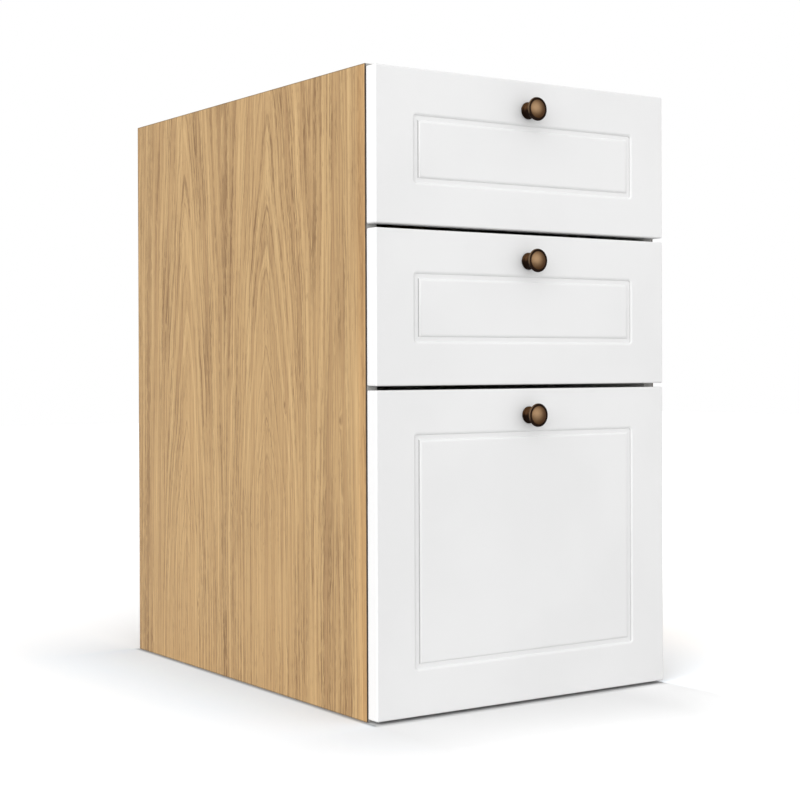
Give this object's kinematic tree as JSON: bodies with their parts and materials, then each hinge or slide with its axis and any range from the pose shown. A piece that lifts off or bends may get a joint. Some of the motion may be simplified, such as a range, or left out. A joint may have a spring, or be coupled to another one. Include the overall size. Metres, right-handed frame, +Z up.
{
  "type": "base cabinet with drawers",
  "caption": "Kitchen base cabinet with oak-effect sides, white routed drawer fronts, bronze mushroom knobs and full-extension drawers.",
  "frame": {"origin": "on the floor, in the middle of the cabinet's overall width and depth, knobs included", "axes": "+Z up; -Y out of the drawer fronts; +X to the right for someone who faces the fronts"},
  "size_m": [0.45, 0.6414, 0.76],
  "materials": {
    "oak_board": "satin oak-effect melamine outside, white inside, on chipboard",
    "white_foil": "satin white foil on fibreboard",
    "white_board": "matte white melamine on chipboard",
    "hardboard": "matte lacquered hardboard",
    "beech": "plain turned beech",
    "antique_bronze": "antique bronze plating, darker in the hollows",
    "zinc_steel": "bright zinc plating on rolled steel",
    "screw_steel": "zinc plated"
  },
  "bodies": {
    "carcass": {"left_side_panel": "oak_board", "right_side_panel": "oak_board", "bottom_panel": "white_board", "front_top_rail": "white_board", "rear_top_rail": "white_board", "back_panel": "hardboard", "bottom_panel_dowel_left": "beech", "bottom_panel_dowel_right": "beech", "front_rail_dowel_left": "beech", "front_rail_dowel_right": "beech", "rear_rail_dowel_left": "beech", "rear_rail_dowel_right": "beech", "top_slide_left_cabinet_member": "zinc_steel", "top_slide_right_cabinet_member": "zinc_steel", "middle_slide_left_cabinet_member": "zinc_steel", "middle_slide_right_cabinet_member": "zinc_steel", "bottom_slide_left_cabinet_member": "zinc_steel", "bottom_slide_right_cabinet_member": "zinc_steel"},
    "top_drawer": {"top_drawer_front": "white_foil", "top_drawer_knob": "antique_bronze", "top_drawer_knob_screw": "screw_steel", "top_drawer_front_screw_left": "screw_steel", "top_drawer_front_screw_right": "screw_steel", "top_drawer_box_left": "white_board", "top_drawer_box_right": "white_board", "top_drawer_box_inner_front": "white_board", "top_drawer_box_back": "white_board", "top_drawer_box_bottom": "hardboard", "top_slide_left_drawer_member": "zinc_steel", "top_slide_right_drawer_member": "zinc_steel"},
    "middle_drawer": {"middle_drawer_front": "white_foil", "middle_drawer_knob": "antique_bronze", "middle_drawer_knob_screw": "screw_steel", "middle_drawer_front_screw_left": "screw_steel", "middle_drawer_front_screw_right": "screw_steel", "middle_drawer_box_left": "white_board", "middle_drawer_box_right": "white_board", "middle_drawer_box_inner_front": "white_board", "middle_drawer_box_back": "white_board", "middle_drawer_box_bottom": "hardboard", "middle_slide_left_drawer_member": "zinc_steel", "middle_slide_right_drawer_member": "zinc_steel"},
    "bottom_drawer": {"bottom_drawer_front": "white_foil", "bottom_drawer_knob": "antique_bronze", "bottom_drawer_knob_screw": "screw_steel", "bottom_drawer_front_screw_left": "screw_steel", "bottom_drawer_front_screw_right": "screw_steel", "bottom_drawer_box_left": "white_board", "bottom_drawer_box_right": "white_board", "bottom_drawer_box_inner_front": "white_board", "bottom_drawer_box_back": "white_board", "bottom_drawer_box_bottom": "hardboard", "bottom_slide_left_drawer_member": "zinc_steel", "bottom_slide_right_drawer_member": "zinc_steel"},
    "top_middle_members": {"top_slide_left_middle_member": "zinc_steel", "top_slide_right_middle_member": "zinc_steel"},
    "middle_middle_members": {"middle_slide_left_middle_member": "zinc_steel", "middle_slide_right_middle_member": "zinc_steel"},
    "bottom_middle_members": {"bottom_slide_left_middle_member": "zinc_steel", "bottom_slide_right_middle_member": "zinc_steel"}
  },
  "joints": [
    {"name": "top_drawer_slide", "type": "slide", "parent": "carcass", "child": "top_drawer", "axis": [0, -1, 0], "range_m": [0, 0.5]},
    {"name": "middle_drawer_slide", "type": "slide", "parent": "carcass", "child": "middle_drawer", "axis": [0, -1, 0], "range_m": [0, 0.5]},
    {"name": "bottom_drawer_slide", "type": "slide", "parent": "carcass", "child": "bottom_drawer", "axis": [0, -1, 0], "range_m": [0, 0.5]},
    {"name": "top_middle_members_slide", "type": "slide", "parent": "carcass", "child": "top_middle_members", "axis": [0, -1, 0], "range_m": [0, 0.25]},
    {"name": "middle_middle_members_slide", "type": "slide", "parent": "carcass", "child": "middle_middle_members", "axis": [0, -1, 0], "range_m": [0, 0.25]},
    {"name": "bottom_middle_members_slide", "type": "slide", "parent": "carcass", "child": "bottom_middle_members", "axis": [0, -1, 0], "range_m": [0, 0.25]}
  ],
  "couplings": [
    {"joint": "top_middle_members_slide", "follows": "top_drawer_slide", "ratio": 0.5},
    {"joint": "middle_middle_members_slide", "follows": "middle_drawer_slide", "ratio": 0.5},
    {"joint": "bottom_middle_members_slide", "follows": "bottom_drawer_slide", "ratio": 0.5}
  ]
}
